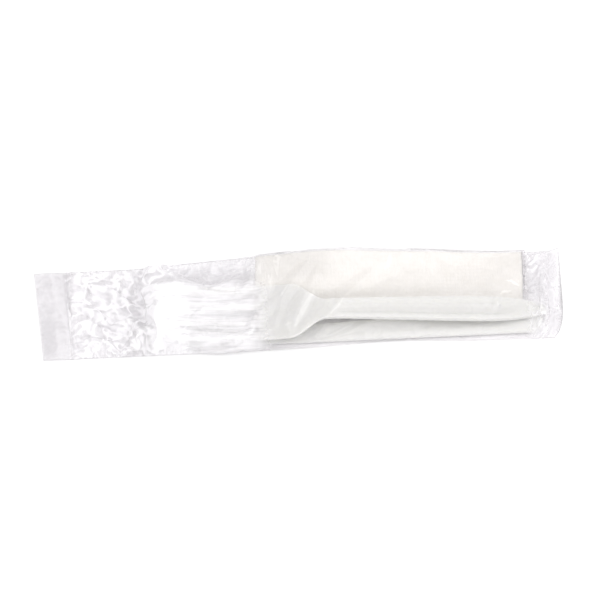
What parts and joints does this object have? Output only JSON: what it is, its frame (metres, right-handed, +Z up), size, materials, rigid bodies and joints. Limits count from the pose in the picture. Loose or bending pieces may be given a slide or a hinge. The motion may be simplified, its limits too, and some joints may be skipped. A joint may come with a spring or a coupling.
{
  "type": "plastic cutlery pack",
  "caption": "Clear film flow wrap lying flat, crumpled over the tines and taut over the handles, holding a white plastic fork and knife and a cream folded paper napkin.",
  "frame": {"origin": "the middle of the pack's footprint, on the surface that it lies on", "axes": "+X along the pack from the fork's tines towards its handle, +Y from the knife's side towards the napkin's side, +Z up"},
  "size_m": [0.2132, 0.0408, 0.012],
  "materials": {
    "clear_film": "clear glossy polypropylene film, crumpled, with heat sealed ends",
    "white_plastic": "injection moulded off-white polystyrene, semi gloss",
    "napkin_paper": "cream-white crepe tissue, folded and lightly creased"
  },
  "bodies": {
    "root": {"film_wrapper": "clear_film", "fork": "white_plastic", "knife": "white_plastic", "napkin": "napkin_paper"}
  },
  "joints": []
}
